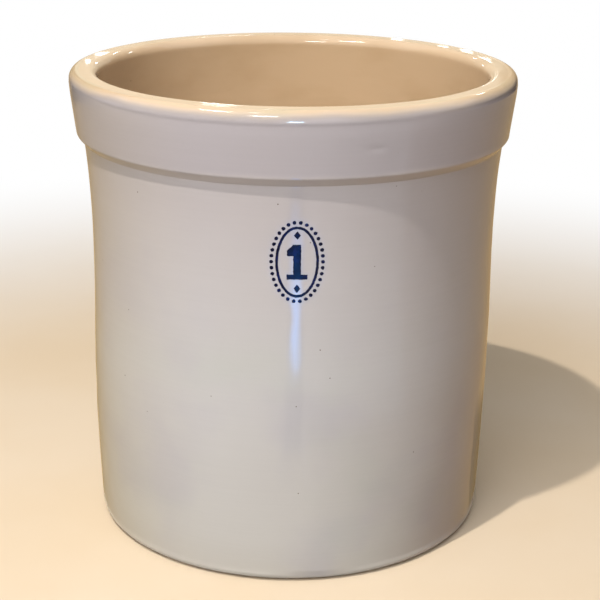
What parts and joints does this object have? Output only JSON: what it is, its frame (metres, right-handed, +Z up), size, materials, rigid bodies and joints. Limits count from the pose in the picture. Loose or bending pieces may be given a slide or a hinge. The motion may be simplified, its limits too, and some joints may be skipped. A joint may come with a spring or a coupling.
{
  "type": "utensil crock",
  "caption": "Open straight-sided stoneware crock with a thick flared rim band, a glazed hollow for kitchen utensils and a stamped capacity numeral.",
  "frame": {"origin": "centre of the foot, on the surface that the crock stands on", "axes": "+Z up along the crock's axis, -Y towards the front, which carries the capacity mark, +X to the right seen from the front"},
  "size_m": [0.189, 0.189, 0.198],
  "materials": {
    "stoneware": "matte, fired and unglazed",
    "liner_glaze": "glossy buff glaze",
    "outer_glaze": "glossy grey-buff glaze",
    "cobalt": "glossy cobalt stamp in the glaze"
  },
  "bodies": {
    "root": {"stoneware_body": "stoneware", "liner_glaze": "liner_glaze", "outer_glaze": "outer_glaze", "capacity_mark": "cobalt"}
  },
  "joints": []
}
